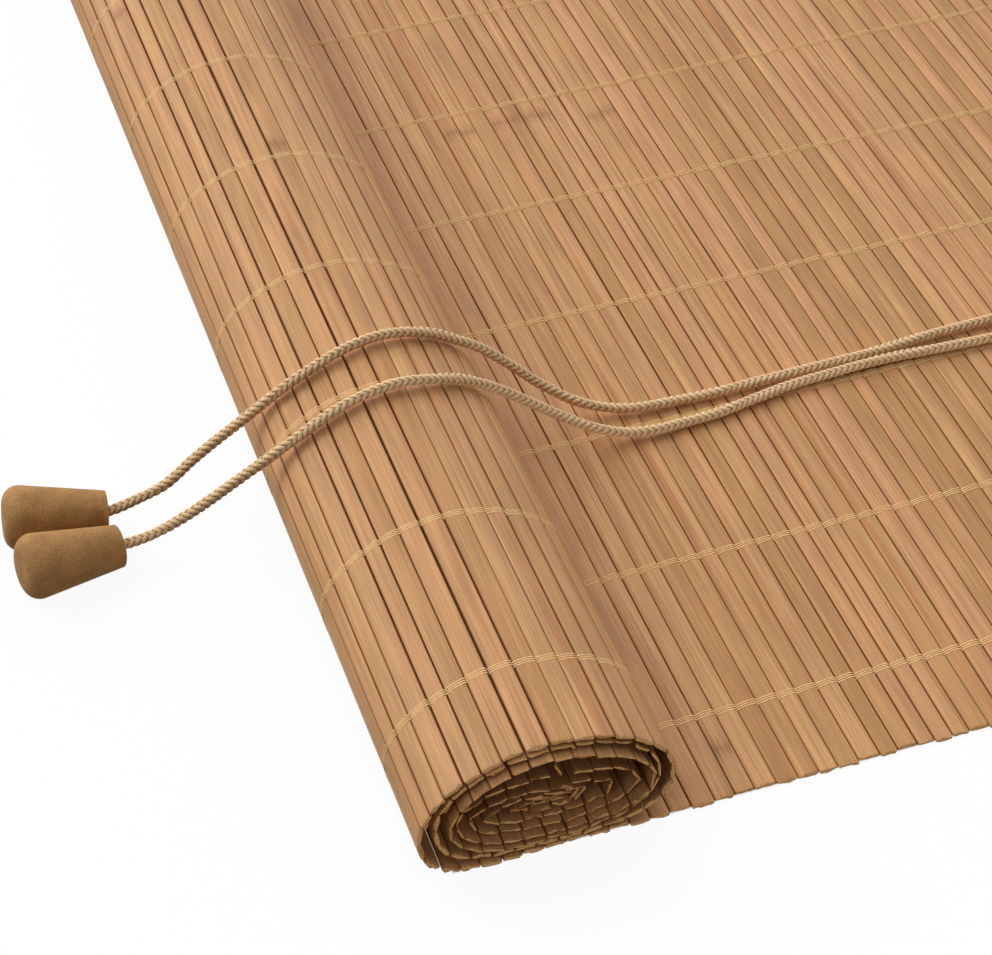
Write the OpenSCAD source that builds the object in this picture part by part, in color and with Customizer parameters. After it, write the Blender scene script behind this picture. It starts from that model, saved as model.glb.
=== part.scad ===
// Bamboo roll up blind, lying on a table with its lower part rolled up.
// Its two pull cords are laid over the roll.
// X runs across the slats from the roll to the head, Y along the slats, Z up from the table.
// Shapes are drawn from the middle of the roll's foot and then moved so that the origin is under the middle.

/* [Slats] */
// Width of the blind, which is the length of each slat
blind_w = 600; // [400:10:1200]
// Pitch from one slat to the next
slat_pitch = 7; // [6:0.25:9]
// Open gap between two slats
slat_gap = 0.35; // [0.2:0.05:0.8]
// Thickness of a slat
slat_t = 1.6; // [1.2:0.1:2]
// Chamfer along the long edges of a slat
slat_chamfer = 0.5; // [0.2:0.05:0.55]
// Slats in the flat stretch, counted from the middle of the roll
flat_slats = 60; // [40:1:100]

/* [Roll] */
// Width of the oval roll
roll_w = 82.4; // [74:0.2:100]
// Height of the roll
roll_h = 49.3; // [44:0.1:60]
// Height of the roll's widest level above the table
roll_mid_h = 20.1; // [18:0.1:24]
// Squareness of the roll's lower half, where it lies flat on the table
roll_foot_power = 3.2; // [2.4:0.1:4]
// Turns in the roll
roll_turns = 6.74; // [5:0.01:7]
// Room between two layers at the roll's foot
layer_gap = 0.2; // [0.1:0.05:0.6]
// How far the innermost slat has crept sideways out of the roll
roll_creep = 8; // [0:0.5:14]

/* [Stitching] */
// Distance from the slats' ends to the first row of stitches
stitch_margin = 33.2; // [15:0.1:60]
// Width of a row of stitches
stitch_w = 3.2; // [2:0.1:5]
// Thickness of the threads
stitch_t = 0.35; // [0.2:0.05:0.5]

/* [Head batten] */
// Width of the batten
batten_w = 26; // [24:0.5:40]
// Thickness of the batten
batten_t = 12; // [8:0.5:20]
// Chamfer on the batten's long edges
batten_chamfer = 1.2; // [0.5:0.1:2.5]
// How far the batten reaches past the last slat
batten_over = 3; // [0:0.5:8]

/* [Hangers] */
// Distance of each hanger from the batten's end
hanger_inset = 80; // [30:5:150]
// Width of a hanger
hanger_w = 16; // [12:0.5:24]
// Thickness of a hanger
hanger_t = 1.5; // [1:0.1:3]
// Length of a hanger on the batten
hanger_foot = 20; // [18:0.5:22]
// Radius of the hole for the wall hook
hook_hole_r = 3.5; // [2.5:0.1:5]
// Distance from the batten's edge to the middle of the hook hole
hook_reach = 6.2; // [6:0.1:12]

/* [Screws] */
// Radius of a screw's shank
screw_r = 1.5; // [1:0.1:2]
// Length of a screw's shank
screw_len = 9; // [6:0.5:14]
// Radius of a screw's head
screw_head_r = 2.8; // [2.2:0.1:3.5]
// Height of a screw's head
screw_head_h = 1.6; // [1:0.1:2.5]
// Distance between the two screws of a hanger
screw_pitch = 9; // [7:0.5:12]

/* [Cord pulley] */
// Place of the pulley along the batten
pulley_y = -128; // [-200:1:200]
// Distance from the batten's inner edge to the pulley's axle
axle_inset = 10.5; // [8:0.5:14]
// Radius of the axle
axle_r = 1.5; // [1:0.1:2.2]
// Radius of the rivet heads on the axle
rivet_r = 2.4; // [2.3:0.1:4]
// Height of the rivet heads
rivet_h = 1; // [0.5:0.1:2]
// Radius of a pulley wheel
sheave_r = 9.4; // [8.5:0.1:10]
// Width of a pulley wheel
sheave_w = 6.6; // [5.5:0.1:9]
// Radius from the axle to the cord's middle
rope_r = 8.5; // [7.5:0.1:9]
// Thickness of the bracket's sheet metal
bracket_t = 1.2; // [0.8:0.1:2]
// Width of the bracket across the axle
bracket_w = 9; // [8:0.5:11]
// Length of each of the bracket's two feet
bracket_foot = 9; // [7:0.5:14]

/* [Cords and pulls] */
// Diameter of the cords
cord_d = 3.8; // [2.5:0.1:3.9]
// Length of a wooden pull
pull_len = 35; // [28:0.5:50]
// Radius of a pull's small end
pull_small_r = 7.4; // [6:0.1:9]
// Radius that the pull's taper reaches at its big end
pull_big_r = 12; // [10:0.1:15]
// Rounding of the pull's big end
pull_round = 5.5; // [3:0.1:6]
// Depth of the hole that a cord's end is glued into
bore_len = 22; // [12:0.5:26]

/* [Clearances] */
// Room around screws and the fixed axle
fit_gap = 0.05; // [0.03:0.01:0.1]
// Running room between a pulley wheel and its axle
run_gap = 0.05; // [0.02:0.01:0.09]
// Room around a cord and beside a pulley wheel
cord_gap = 0.3; // [0.2:0.05:0.5]
// Room between a pulley wheel's rim and its bracket
rim_gap = 0.8; // [0.5:0.1:2]

/* [Hidden] */
$fn = 64;

bamboo = "#C6986C";
thread = "#C9A45E";
pine = "#D2AE7C";
zinc = "#B4B7B8";
nylon = "#E4E0D4";
braid = "#BE9A70";
beech = "#8D6A3E";

// Slat section, and the tie that the middle row of stitches makes across each gap
half_t = slat_t / 2;
edge_h = half_t - slat_chamfer;
tie_grip = 0.25;

// Layers of the roll from the outside in, one number for each turn.
// The inner layers rest on each other at the foot, and their tops sag away from the outer ones.
left_share = [1, 0.871, 0.77, 0.704, 0.588, 0.468, 0.26, 0.151];
right_share = [1.03, 0.916, 0.871, 0.777, 0.638, 0.531, 0.438, 0.299];
mid_share = [1, 1.17, 1.116, 1.042, 0.886, 0.787, 0.762, 0.702];
top_share = [1, 0.96, 0.922, 0.687, 0.491, 0.39, 0.311, 0.286];
square_share = [1, 0.75, 0.2, 0, 0, 0, 0, 0];
// How far the layers have crept along the slats, one number for each half turn
creep_share = [0, 0, 0, 0, 0, 0, 0.075, 0.125, 0.375, 0.44, 0.65, 0.69, 0.8, 0.84, 0.9, 1];
round_power = 2.1;

// Path of the roll, clockwise from the middle of its foot
end_angle = 360 * roll_turns;
function toward(a, b, share) = a + (b - a) * max(0, min(1, share));
function at_turn(list, n) =
    let (k = max(0, min(len(list) - 2, floor(n))))
    toward(list[k], list[k + 1], n - k);
function side_reach(angle) =
    (roll_w - slat_t) / 2
    * (sin(angle) >= 0 ? at_turn(left_share, (angle - 90) / 360) : at_turn(right_share, (angle - 270) / 360));
// The stitches on the flat stretch lie between its slats and the second layer
function stitch_room(angle) = angle > 180 ? stitch_t : 0;
function foot_level(angle) = half_t + stitch_room(angle) + angle / 360 * (slat_t + layer_gap);
function mid_level(angle) = roll_mid_h * at_turn(mid_share, (angle - 90) / 360);
function top_level(angle) = half_t + (roll_h - slat_t) * at_turn(top_share, (angle - 180) / 360);
function level_reach(angle) =
    max(slat_t, cos(angle) > 0 ? mid_level(angle) - foot_level(angle) : top_level(angle) - mid_level(angle));
function roundness(angle) =
    cos(angle) > 0 ? toward(round_power, roll_foot_power, at_turn(square_share, angle / 360)) : 2;
function spiral(angle) =
    let (
        n = roundness(angle),
        across = pow(abs(sin(angle)) / side_reach(angle), n),
        upright = pow(abs(cos(angle)) / level_reach(angle), n),
        reach = pow(across + upright, -1 / n)
    )
    [-reach * sin(angle), mid_level(angle) - reach * cos(angle)];

// Joints between the rolled slats, one pitch apart along the spiral
function away(from, angle) = norm(spiral(angle) - spiral(from));
function halve(from, low, high, left) =
    left == 0 ? high :
    let (mid = (low + high) / 2)
    away(from, mid) < slat_pitch ? halve(from, mid, high, left - 1) : halve(from, low, mid, left - 1);
function next_joint(from, angle) =
    away(from, angle) < slat_pitch ? next_joint(from, angle + 1) : halve(from, angle - 1, angle, 12);
joint_angle = [for (angle = 0; angle < end_angle; angle = next_joint(angle, angle + 1)) angle];
joint = [for (angle = joint_angle) spiral(angle)];
rolled_slats = len(joint) - 1;

// Heading of rolled slat i, its outward side, and the fold at the joint before it
function heading(i) =
    i < 0 ? [-1, 0] :
    let (step = joint[min(i, rolled_slats - 1) + 1] - joint[min(i, rolled_slats - 1)])
    step / norm(step);
function outward(i) = [-heading(i).y, heading(i).x];
function fold(i) = acos(max(-1, min(1, heading(i - 1) * heading(i))));
function setback(i) = slat_gap / 2 + edge_h * tan(min(fold(i), 140) / 2);
function crept(i) = at_turn(creep_share, joint_angle[i] / 180);
function creep(i) = roll_creep * crept(i) / crept(rolled_slats - 1);

// Outline of a slat between joints a and b, held back from each joint
function slat_outline(a, b, back_a, back_b) =
    let (
        length = norm(b - a),
        along = (b - a) / length,
        out = [-along.y, along.x],
        low = back_a,
        high = length - back_b,
        c = slat_chamfer
    )
    [for (q = [
            [low, -edge_h], [low + c, -half_t], [high - c, -half_t], [high, -edge_h],
            [high, edge_h], [high - c, half_t], [low + c, half_t], [low, edge_h]
        ]) a + along * q.x + out * q.y];

// Outline of the tie at joint i, which grips the slat on each side of it
function tie_outline(i) =
    let (
        back_grip = i == 0 ? 0 : tie_grip,
        start = joint[i] - heading(i - 1) * (setback(i) + back_grip),
        end = joint[i] + heading(i) * (setback(i) + tie_grip),
        half = stitch_t / 2
    )
    [
        start + outward(i - 1) * half, start - outward(i - 1) * half,
        end - outward(i) * half, end + outward(i) * half
    ];

// Stitching on the outside of the roll's outer turn, where it shows
wrap_from = 75;
wrap_to = 285;
wrap_joint = [for (i = [1:rolled_slats - 1]) if (joint_angle[i] > wrap_from && joint_angle[i] < wrap_to) i];
function wrap_point(i, lift) =
    joint[i] + (outward(i - 1) + outward(i)) / (1 + outward(i - 1) * outward(i)) * lift;
function wrap_outline() =
    concat(
        [for (i = wrap_joint) wrap_point(i, half_t)],
        [for (k = [len(wrap_joint) - 1:-1:0]) wrap_point(wrap_joint[k], half_t + stitch_t)]
    );
stitch_rows = 9;
row_pitch = (blind_w - 2 * stitch_margin) / (stitch_rows - 1);
function row_y(k) = (k - (stitch_rows + 1) / 2) * row_pitch;

// Head batten, on top of the last slats
flat_len = flat_slats * slat_pitch;
batten_end = flat_len + batten_over;
batten_start = batten_end - batten_w;
batten_top = slat_t + batten_t;

// Hangers and their screws
hanger_y = blind_w / 2 - hanger_inset;
hook_x = batten_end + hook_reach;
hanger_start = batten_end - hanger_foot;
hanger_screw_x = hanger_start + (hanger_foot - screw_pitch) / 2;
head_end = hook_x + hanger_w / 2;

// Cord pulley
cord_r = cord_d / 2;
axle_x = batten_start + axle_inset;
axle_z = batten_top + bracket_t + rim_gap + sheave_r;
cord_hole_x = axle_x + rope_r;
cord_hole_r = cord_r + cord_gap;
sheave_side = (sheave_w + 2 * cord_gap) / 2;
ear_y = 2 * sheave_side + cord_gap;
bracket_half = ear_y + bracket_t + bracket_foot;
bracket_screw_y = ear_y + bracket_t + bracket_foot / 2;

// Pulls lie on their sides, so that the lower edge of the taper rests on the table
taper = atan((pull_big_r - pull_small_r) / pull_len);
pull_near_at = [-94.5, -138];
pull_near_turn = 188;
pull_far_at = [-95, -120.5];
pull_far_turn = 175;
function pull_start(at) = [at.x, at.y, pull_small_r * cos(taper)];
function pull_axis(turn) = [cos(taper) * cos(turn), cos(taper) * sin(turn), sin(taper)];

// Free stretch of each cord, from the pulley to its pull
cord_far_route = [
    [388, -124.5, 25.5], [370, -124.5, 17.5], [350, -124.5, 10], [332, -124, 5.5], [314, -124, 4],
    [290, -123.1, 4], [266, -122.7, 4], [242, -123, 4], [218, -123.8, 4], [194, -125.9, 4],
    [170, -126.7, 4], [146, -127.3, 4], [126, -127.9, 4], [110, -127.2, 4], [98, -126.7, 4.5],
    [87, -124, 5.5], [76, -121, 9.5], [65, -116.5, 16.5], [54, -112.4, 26], [44, -110.2, 34.5],
    [35, -109.7, 40.5], [26, -109.9, 46], [16, -110.8, 50], [5, -112.2, 52], [-6, -114.6, 52],
    [-17, -117.1, 49.5], [-26, -118.4, 46], [-34, -118.1, 40.5], [-43, -117.6, 33.5], [-53, -117.4, 26.5],
    [-63, -118.2, 20], [-74, -120.9, 14], [-84, -120.6, 10]
];
cord_near_route = [
    [388, -131.5, 25.5], [370, -132, 17.5], [350, -132.5, 10], [332, -133, 5.5], [314, -133.5, 4],
    [290, -133.4, 4], [264, -133.3, 4], [238, -132.7, 4], [216, -131.8, 4], [195, -130.8, 4],
    [175, -131.7, 4], [156, -133, 4], [140, -135.7, 4], [125, -138.2, 4], [111, -139, 4],
    [100, -139.7, 4.5], [89, -138.5, 5.5], [78, -137, 9.5], [67, -135.5, 16.5], [56, -133.8, 24.5],
    [46, -133.2, 32.5], [37, -133.1, 39], [28, -134.5, 45], [18, -136.5, 49.5], [7, -137.3, 52],
    [-5, -138.8, 52], [-16, -140.7, 50], [-25, -142.2, 46.5], [-33, -142.3, 41.5], [-42, -141.9, 35.5],
    [-52, -141.5, 29], [-62, -140.8, 22], [-72, -139.9, 15.5], [-83, -138.9, 10]
];
cord_sides = 8;
over_sheave = [0, 32, 64, 92, 116];
function sheave_y(side) = pulley_y + side * sheave_side;
function cord_start(side) = [
    [cord_hole_x, sheave_y(side), slat_t],
    for (a = over_sheave)
        [axle_x + rope_r * cos(a), sheave_y(side), axle_z + rope_r * sin(a)]
];
function cord_finish(at, turn) = [
    for (reach = [0, bore_len]) pull_start(at) + pull_axis(turn) * reach
];

// A tube swept along a list of points
function unit(v) = v / norm(v);
function tangent(p, i) = unit(p[min(i + 1, len(p) - 1)] - p[max(i - 1, 0)]);
function ring(p, i, r) =
    let (
        t = tangent(p, i),
        side = unit([0, 1, 0] - t * t.y),
        up = cross(t, side)
    )
    [for (k = [0:cord_sides - 1]) let (a = 360 * k / cord_sides) p[i] + r * (side * cos(a) + up * sin(a))];
module tube(p, r) {
    rings = len(p);
    points = [for (i = [0:rings - 1]) each ring(p, i, r)];
    wall = [
        for (i = [0:rings - 2], k = [0:cord_sides - 1])
            let (a = i * cord_sides, n = (k + 1) % cord_sides)
            each [[a + k, a + cord_sides + k, a + cord_sides + n], [a + k, a + cord_sides + n, a + n]]
    ];
    first = [[for (k = [0:cord_sides - 1]) k]];
    last = [[for (k = [cord_sides - 1:-1:0]) (rings - 1) * cord_sides + k]];
    polyhedron(points, concat(wall, first, last));
}

// The origin lies under the middle of the blind, without its cords and pulls
mid_x = (head_end - roll_w / 2) / 2;
mid_y = roll_creep / 2;
module placed() {
    translate([-mid_x, -mid_y, 0]) children();
}

// Draws a flat outline in the XZ plane as a bar along Y
module bar(length, y = 0) {
    translate([0, y, 0]) rotate([90, 0, 0]) linear_extrude(length, center = true) children();
}

module flat_mat() {
    color(bamboo) placed() {
        bar(blind_w)
            for (i = [1:flat_slats])
                polygon(slat_outline(
                    [i * slat_pitch, half_t], [(i - 1) * slat_pitch, half_t], slat_gap / 2, slat_gap / 2));
        bar(stitch_w)
            for (i = [1:flat_slats - 1])
                translate([i * slat_pitch, half_t])
                    square([slat_gap + 2 * tie_grip, stitch_t], center = true);
    }
}

module rolled_mat() {
    color(bamboo) placed()
        for (i = [0:rolled_slats - 1]) {
            bar(blind_w, creep(i)) polygon(slat_outline(joint[i], joint[i + 1], setback(i), setback(i + 1)));
            bar(stitch_w, creep(i)) polygon(tie_outline(i));
        }
}

module stitch_row(k) {
    color(thread) placed() bar(stitch_w, row_y(k)) {
        translate([slat_gap / 2, slat_t]) square([batten_start - slat_gap, stitch_t]);
        polygon(wrap_outline());
    }
}

module head_batten() {
    c = batten_chamfer;
    color(pine) placed() difference() {
        bar(blind_w)
            translate([batten_start, slat_t])
                polygon([
                    [c, 0], [batten_w - c, 0], [batten_w, c], [batten_w, batten_t - c],
                    [batten_w - c, batten_t], [c, batten_t], [0, batten_t - c], [0, c]
                ]);
        for (side = [-1, 1])
            translate([cord_hole_x, sheave_y(side), 0]) cylinder(r = cord_hole_r, h = 2 * batten_top);
        for (at = screw_places())
            translate([at.x, at.y, batten_top - screw_len - fit_gap])
                cylinder(r = screw_r + fit_gap, h = screw_len + batten_t);
    }
}

// Places of the screws' heads, on the hangers and on the pulley bracket
function screw_places() = [
    for (side = [-1, 1], n = [0, 1])
        [hanger_screw_x + n * screw_pitch, side * hanger_y, batten_top + hanger_t],
    for (side = [-1, 1])
        [axle_x, pulley_y + side * bracket_screw_y, batten_top + bracket_t]
];

module screws() {
    color(zinc) placed()
        for (at = screw_places())
            translate(at) rotate_extrude()
                polygon([
                    [0, batten_top - screw_len - at.z], [screw_r, batten_top - screw_len - at.z],
                    [screw_r, 0],
                    [screw_head_r, 0], [screw_head_r, screw_head_h / 2],
                    [screw_head_r * 0.6, screw_head_h], [0, screw_head_h]
                ]);
}

module hanger(side) {
    color(zinc) placed() translate([0, side * hanger_y, batten_top]) linear_extrude(hanger_t) difference() {
        union() {
            translate([hanger_start, -hanger_w / 2]) square([hook_x - hanger_start, hanger_w]);
            translate([hook_x, 0]) circle(hanger_w / 2);
        }
        translate([hook_x, 0]) circle(hook_hole_r);
        for (n = [0, 1])
            translate([hanger_screw_x + n * screw_pitch, 0]) circle(screw_r + fit_gap);
    }
}

module pulley_bracket() {
    color(zinc) placed() difference() {
        union() {
            translate([axle_x - bracket_w / 2, pulley_y - bracket_half, batten_top])
                cube([bracket_w, 2 * bracket_half, bracket_t]);
            for (side = [-1, 1])
                bar(bracket_t, pulley_y + side * (ear_y + bracket_t / 2)) {
                    translate([axle_x - bracket_w / 2, batten_top]) square([bracket_w, axle_z - batten_top]);
                    translate([axle_x, axle_z]) circle(bracket_w / 2);
                }
        }
        translate([axle_x, pulley_y, axle_z]) rotate([90, 0, 0])
            cylinder(r = axle_r + fit_gap, h = 2 * bracket_half, center = true);
        for (side = [-1, 1])
            translate([axle_x, pulley_y + side * bracket_screw_y, 0])
                cylinder(r = screw_r + fit_gap, h = axle_z);
    }
}

module pulley_axle() {
    shank = 2 * (ear_y + bracket_t);
    color(zinc) placed() translate([axle_x, pulley_y, axle_z]) rotate([90, 0, 0]) {
        cylinder(r = axle_r, h = shank, center = true);
        for (side = [-1, 1])
            translate([0, 0, side * (shank + rivet_h) / 2]) cylinder(r = rivet_r, h = rivet_h, center = true);
    }
}

module sheave(side) {
    color(nylon) placed() translate([axle_x, sheave_y(side), axle_z]) rotate([90, 0, 0])
        rotate_extrude() difference() {
            translate([axle_r + run_gap, -sheave_w / 2]) square([sheave_r - axle_r - run_gap, sheave_w]);
            translate([rope_r, 0]) circle(cord_r + cord_gap);
        }
}

module cord(side, route, at, turn) {
    color(braid) placed() tube(concat(cord_start(side), route, cord_finish(at, turn)), cord_r);
}

// Turned about its own axis, from the small end to the rounded big end
module pull(at, turn) {
    side_r = pull_small_r + (pull_len - pull_round) * tan(taper);
    round_r = side_r - pull_round / cos(taper);
    color(beech) placed() translate(pull_start(at)) rotate([0, 90 - taper, turn])
        rotate_extrude() difference() {
            union() {
                polygon([
                    [0, 0], [pull_small_r, 0],
                    [round_r + pull_round * cos(taper), pull_len - pull_round - pull_round * sin(taper)],
                    [round_r, pull_len], [0, pull_len]
                ]);
                translate([round_r, pull_len - pull_round]) circle(pull_round);
            }
            square([cord_r + fit_gap, bore_len]);
            translate([-pull_len, 0]) square([pull_len, pull_len]);
        }
}

flat_mat();
rolled_mat();
for (k = [1:stitch_rows])
    stitch_row(k);
head_batten();
hanger(-1);  // hanger_near
hanger(1);  // hanger_far
screws();
pulley_bracket();
pulley_axle();
sheave(-1);  // sheave_near
sheave(1);  // sheave_far
cord(-1, cord_near_route, pull_near_at, pull_near_turn);  // cord_near
cord(1, cord_far_route, pull_far_at, pull_far_turn);  // cord_far
pull(pull_near_at, pull_near_turn);  // pull_near
pull(pull_far_at, pull_far_turn);  // pull_far
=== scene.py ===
# %% [markdown]
# # A bamboo roll up blind
# This lesson dresses a finished CAD part in Blender. The blind lies on a table with its lower part rolled up,
# and two braided cords lie across the roll.

# %% Load the part
import math

import bpy
import numpy as np
from mathutils import Matrix, Vector


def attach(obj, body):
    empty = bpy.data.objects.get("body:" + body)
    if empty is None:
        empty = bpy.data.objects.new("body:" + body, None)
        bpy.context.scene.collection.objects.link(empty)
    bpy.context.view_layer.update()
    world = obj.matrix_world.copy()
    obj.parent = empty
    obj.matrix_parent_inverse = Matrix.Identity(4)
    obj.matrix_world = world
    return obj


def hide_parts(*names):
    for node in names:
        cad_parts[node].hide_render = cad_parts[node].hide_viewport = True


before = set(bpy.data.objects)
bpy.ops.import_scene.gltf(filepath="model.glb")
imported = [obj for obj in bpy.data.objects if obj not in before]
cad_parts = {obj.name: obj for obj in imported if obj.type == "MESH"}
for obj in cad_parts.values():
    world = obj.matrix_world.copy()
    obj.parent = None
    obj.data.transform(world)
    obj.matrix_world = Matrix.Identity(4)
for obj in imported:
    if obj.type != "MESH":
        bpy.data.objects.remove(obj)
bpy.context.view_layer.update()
MM = 0.001

# %% [markdown]
# The part was drawn from the middle of the roll's foot, and then moved so that its origin is under the middle
# of the blind. The same move is made here once, in one function, so that all routes and sizes below can be
# read in the drawing's own millimetres. Yarns, slats, threads and pulls are all closed tubes of rings, so one
# function gives the faces of them all. The last one puts a piece in its solid's place.

# %% From drawing millimetres to scene meshes
ORIGIN_MM = np.array([198.0, 4.0, 0.0])


def scene_points(points_mm):
    """Drawing points in millimetres, as scene points in metres."""
    return (np.asarray(points_mm, float) - ORIGIN_MM) * MM


def new_mesh_object(name, vertices, faces, smooth=False):
    """A mesh object at the origin, with its place in its vertices."""
    mesh = bpy.data.meshes.new(name)
    mesh.from_pydata([tuple(v) for v in vertices], [], [tuple(f) for f in faces])
    mesh.polygons.foreach_set("use_smooth", [smooth] * len(mesh.polygons))
    mesh.update()
    obj = bpy.data.objects.new(name, mesh)
    bpy.context.scene.collection.objects.link(obj)
    return obj


def tube_faces(first, rings, sides, flip=False):
    """Faces of a closed tube: rings of vertices one after the other, and last a cap at each end."""
    faces = []
    for a in range(first, first + (rings - 1) * sides, sides):
        for k in range(sides):
            b = (k + 1) % sides
            faces.append((a + k, a + b, a + sides + b, a + sides + k))
    faces.append(tuple(first + k for k in reversed(range(sides))))
    faces.append(tuple(first + (rings - 1) * sides + k for k in range(sides)))
    return [face[::-1] for face in faces] if flip else faces


def hand_over(piece, node):
    """Lets a piece ride on the blind in a solid's place, and hides the solid."""
    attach(piece, "blind")
    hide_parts(node)


print("drawing origin at", scene_points((0, 0, 0)))

# %% [markdown]
# The camera stands above the near left corner and looks down along the roll. Its place was worked out from
# the rows of stitches and the slats' edges, which are taken to be straight and evenly spaced.

# %% Camera
CAMERA_AT_MM = np.array([-179.72, -754.2, 630.69])
CAMERA_FORWARD = Vector((0.24200, 0.67671, -0.69534)).normalized()
CAMERA_RIGHT = Vector((0.94423, -0.32918, 0.00827)).normalized()
camera_up = CAMERA_RIGHT.cross(CAMERA_FORWARD).normalized()
camera_data = bpy.data.cameras.new("photo_camera")
camera_data.sensor_fit = "HORIZONTAL"
camera_data.sensor_width = 36.0
camera_data.lens = 93.37
camera_data.clip_start = 0.01
camera = bpy.data.objects.new("photo_camera", camera_data)
axes = Matrix((CAMERA_RIGHT, camera_up, -CAMERA_FORWARD)).transposed().to_4x4()
camera.matrix_world = Matrix.Translation(scene_points(CAMERA_AT_MM)) @ axes
bpy.context.scene.collection.objects.link(camera)
bpy.context.scene.camera = camera
bpy.context.scene.view_settings.view_transform = "Standard"
print("camera at", [round(c, 3) for c in camera.matrix_world.translation])

# %% [markdown]
# Every material is a small tree of nodes. One function adds a node, gives it its settings, and fills or links
# its inputs. Colours are written as the hex values that one reads off a picture, and turned to linear light.

# %% Colour and node helpers
# The kinds of node that most trees need
MATH, VECTORS, RANGE, MIX, NOISE, RAMP, COMBINE, SEPARATE, COORDS, BUMP, PRINCIPLED, TO_MATERIAL = [
    "ShaderNode" + kind for kind in (
        "Math", "VectorMath", "MapRange", "Mix", "TexNoise", "ValToRGB", "CombineXYZ", "SeparateXYZ",
        "TexCoord", "Bump", "BsdfPrincipled", "OutputMaterial")]


def linear(hex_colour):
    """An sRGB hex colour as linear red, green, blue and alpha."""
    channels = [int(hex_colour[i:i + 2], 16) / 255 for i in (1, 3, 5)]
    return [c / 12.92 if c <= 0.04045 else ((c + 0.055) / 1.055) ** 2.4 for c in channels] + [1.0]


def add(tree, kind, inputs=(), stops=(), **settings):
    """Adds a node. Inputs go by name or in order: a value, a socket, or a node for its first output.

    Stops are the places and colours along a ramp."""
    made = tree.nodes.new(kind)
    for name, value in settings.items():
        setattr(made, name, value)
    for key, value in inputs.items() if isinstance(inputs, dict) else enumerate(inputs):
        if isinstance(value, bpy.types.Node):
            value = value.outputs[0]
        if isinstance(value, bpy.types.NodeSocket):
            tree.links.new(value, made.inputs[key])
        else:
            made.inputs[key].default_value = value
    for _ in stops[2:]:
        made.color_ramp.elements.new(0.5)
    for i, (position, colour) in enumerate(stops):
        made.color_ramp.elements[i].position = position
        made.color_ramp.elements[i].color = linear(colour)
    return made


def new_material(name):
    """An empty material with its tree, ready for nodes."""
    material = bpy.data.materials.new(name)
    material.use_nodes = True
    material.node_tree.nodes.clear()
    print("material", name)
    return material, material.node_tree


# %% [markdown]
# The light is that of a white studio. The sky is a soft white dome: bright behind the blind and near the
# horizon, and dark low in front, so that the cords throw a soft shadow towards the camera and the hollows of
# the roll's end stay dark. Camera rays see plain white in its place.

# %% Sky
SKY_LOW, SKY_TOP = 1.35, 0.85
SKY_FRONT, SKY_BACK = 0.0, 1.42
FRONT_DARK = -0.36
BACK_SIDE = (-0.14, 0.84, 0.52)
world = bpy.data.worlds.new("studio")
bpy.context.scene.world = world
world.use_nodes = True
tree = world.node_tree
tree.nodes.clear()
path = add(tree, "ShaderNodeLightPath")
ray = add(tree, COORDS)
facing = add(tree, VECTORS,
             (ray.outputs["Generated"], tuple(Vector(BACK_SIDE).normalized())), operation="DOT_PRODUCT")
around = add(tree, RANGE, (facing.outputs["Value"], FRONT_DARK, 1.0, SKY_FRONT, SKY_BACK))
height = add(tree, SEPARATE, (ray.outputs["Generated"],))
upward = add(tree, RANGE, (height.outputs["Z"], 0.0, 1.0, SKY_LOW, SKY_TOP))
strength = add(tree, MATH, (around, upward), operation="MULTIPLY")
sky = add(tree, "ShaderNodeBackground", {"Color": linear("#FFFFFF"), "Strength": strength})
white = add(tree, "ShaderNodeBackground", {"Color": linear("#FFFFFF"), "Strength": 1.0})
seen = add(tree, "ShaderNodeMixShader", (path.outputs["Is Camera Ray"], sky, white))
add(tree, "ShaderNodeOutputWorld", {"Surface": seen})
print("sky from", SKY_FRONT, "in front to", SKY_BACK, "behind")

# %% [markdown]
# Two lamps help the sky. A large one, like a window, stands behind on the left. A small one stands low in
# front: at that height it grazes the slats and lights only their sawn ends, which are pale on the real roll.

# %% Lamps
# Each lamp's place, the point that it faces, its size in metres and its watts
LAMPS = {"window_light": ((-1.3, 0.9, 1.2), (-0.1, -0.1, 0.0), 0.9, 11.0),
         "low_fill": ((-0.13, -0.82, 0.06), (-0.2, -0.3, 0.02), 0.1, 0.8)}
for name, (stand, target, size, watts) in LAMPS.items():
    lamp = bpy.data.lights.new(name, "AREA")
    lamp.shape, lamp.size, lamp.energy = "SQUARE", size, watts
    obj = bpy.data.objects.new(name, lamp)
    obj.location = stand
    obj.rotation_euler = (Vector(target) - Vector(stand)).to_track_quat("-Z", "Y").to_euler()
    obj.visible_camera = False
    bpy.context.scene.collection.objects.link(obj)
    print(name, watts, "W")

# %% [markdown]
# The table is white and matt. For camera rays most of its white is its own, so that it stays pale in the
# picture and still keeps the blind's shadow. Right under the blind it has none of that white, and its colour
# there is a painted shade: a brown that stands for the little light that comes down there, all of it off the
# slats' brown edges.

# %% Table
TABLE_OWN_WHITE, TABLE_HALF = 0.93, 4.0
UNDER_MIDDLE = scene_points((195.0, 0.0, 0.0))
UNDER_HALF, UNDER_SOFT = (0.225, 0.3), 0.001
table_material, tree = new_material("white_table")
path = add(tree, "ShaderNodeLightPath")
shown = add(tree, MATH, (path.outputs["Is Camera Ray"], path.outputs["Is Glossy Ray"]), operation="ADD")
shown = add(tree, MATH, (shown, path.outputs["Is Transmission Ray"]), operation="ADD", use_clamp=True)
spot = add(tree, COORDS)
from_middle = add(tree, VECTORS, (spot.outputs["Object"], tuple(UNDER_MIDDLE)), operation="SUBTRACT")
from_middle = add(tree, VECTORS, (from_middle,), operation="ABSOLUTE")
sideways = add(tree, SEPARATE, (from_middle,))
past = [add(tree, RANGE, (sideways.outputs[axis], half - UNDER_SOFT, half, 0.0, 1.0))
        for axis, half in zip("XY", UNDER_HALF)]
outside = add(tree, MATH, past, operation="MAXIMUM")
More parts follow.
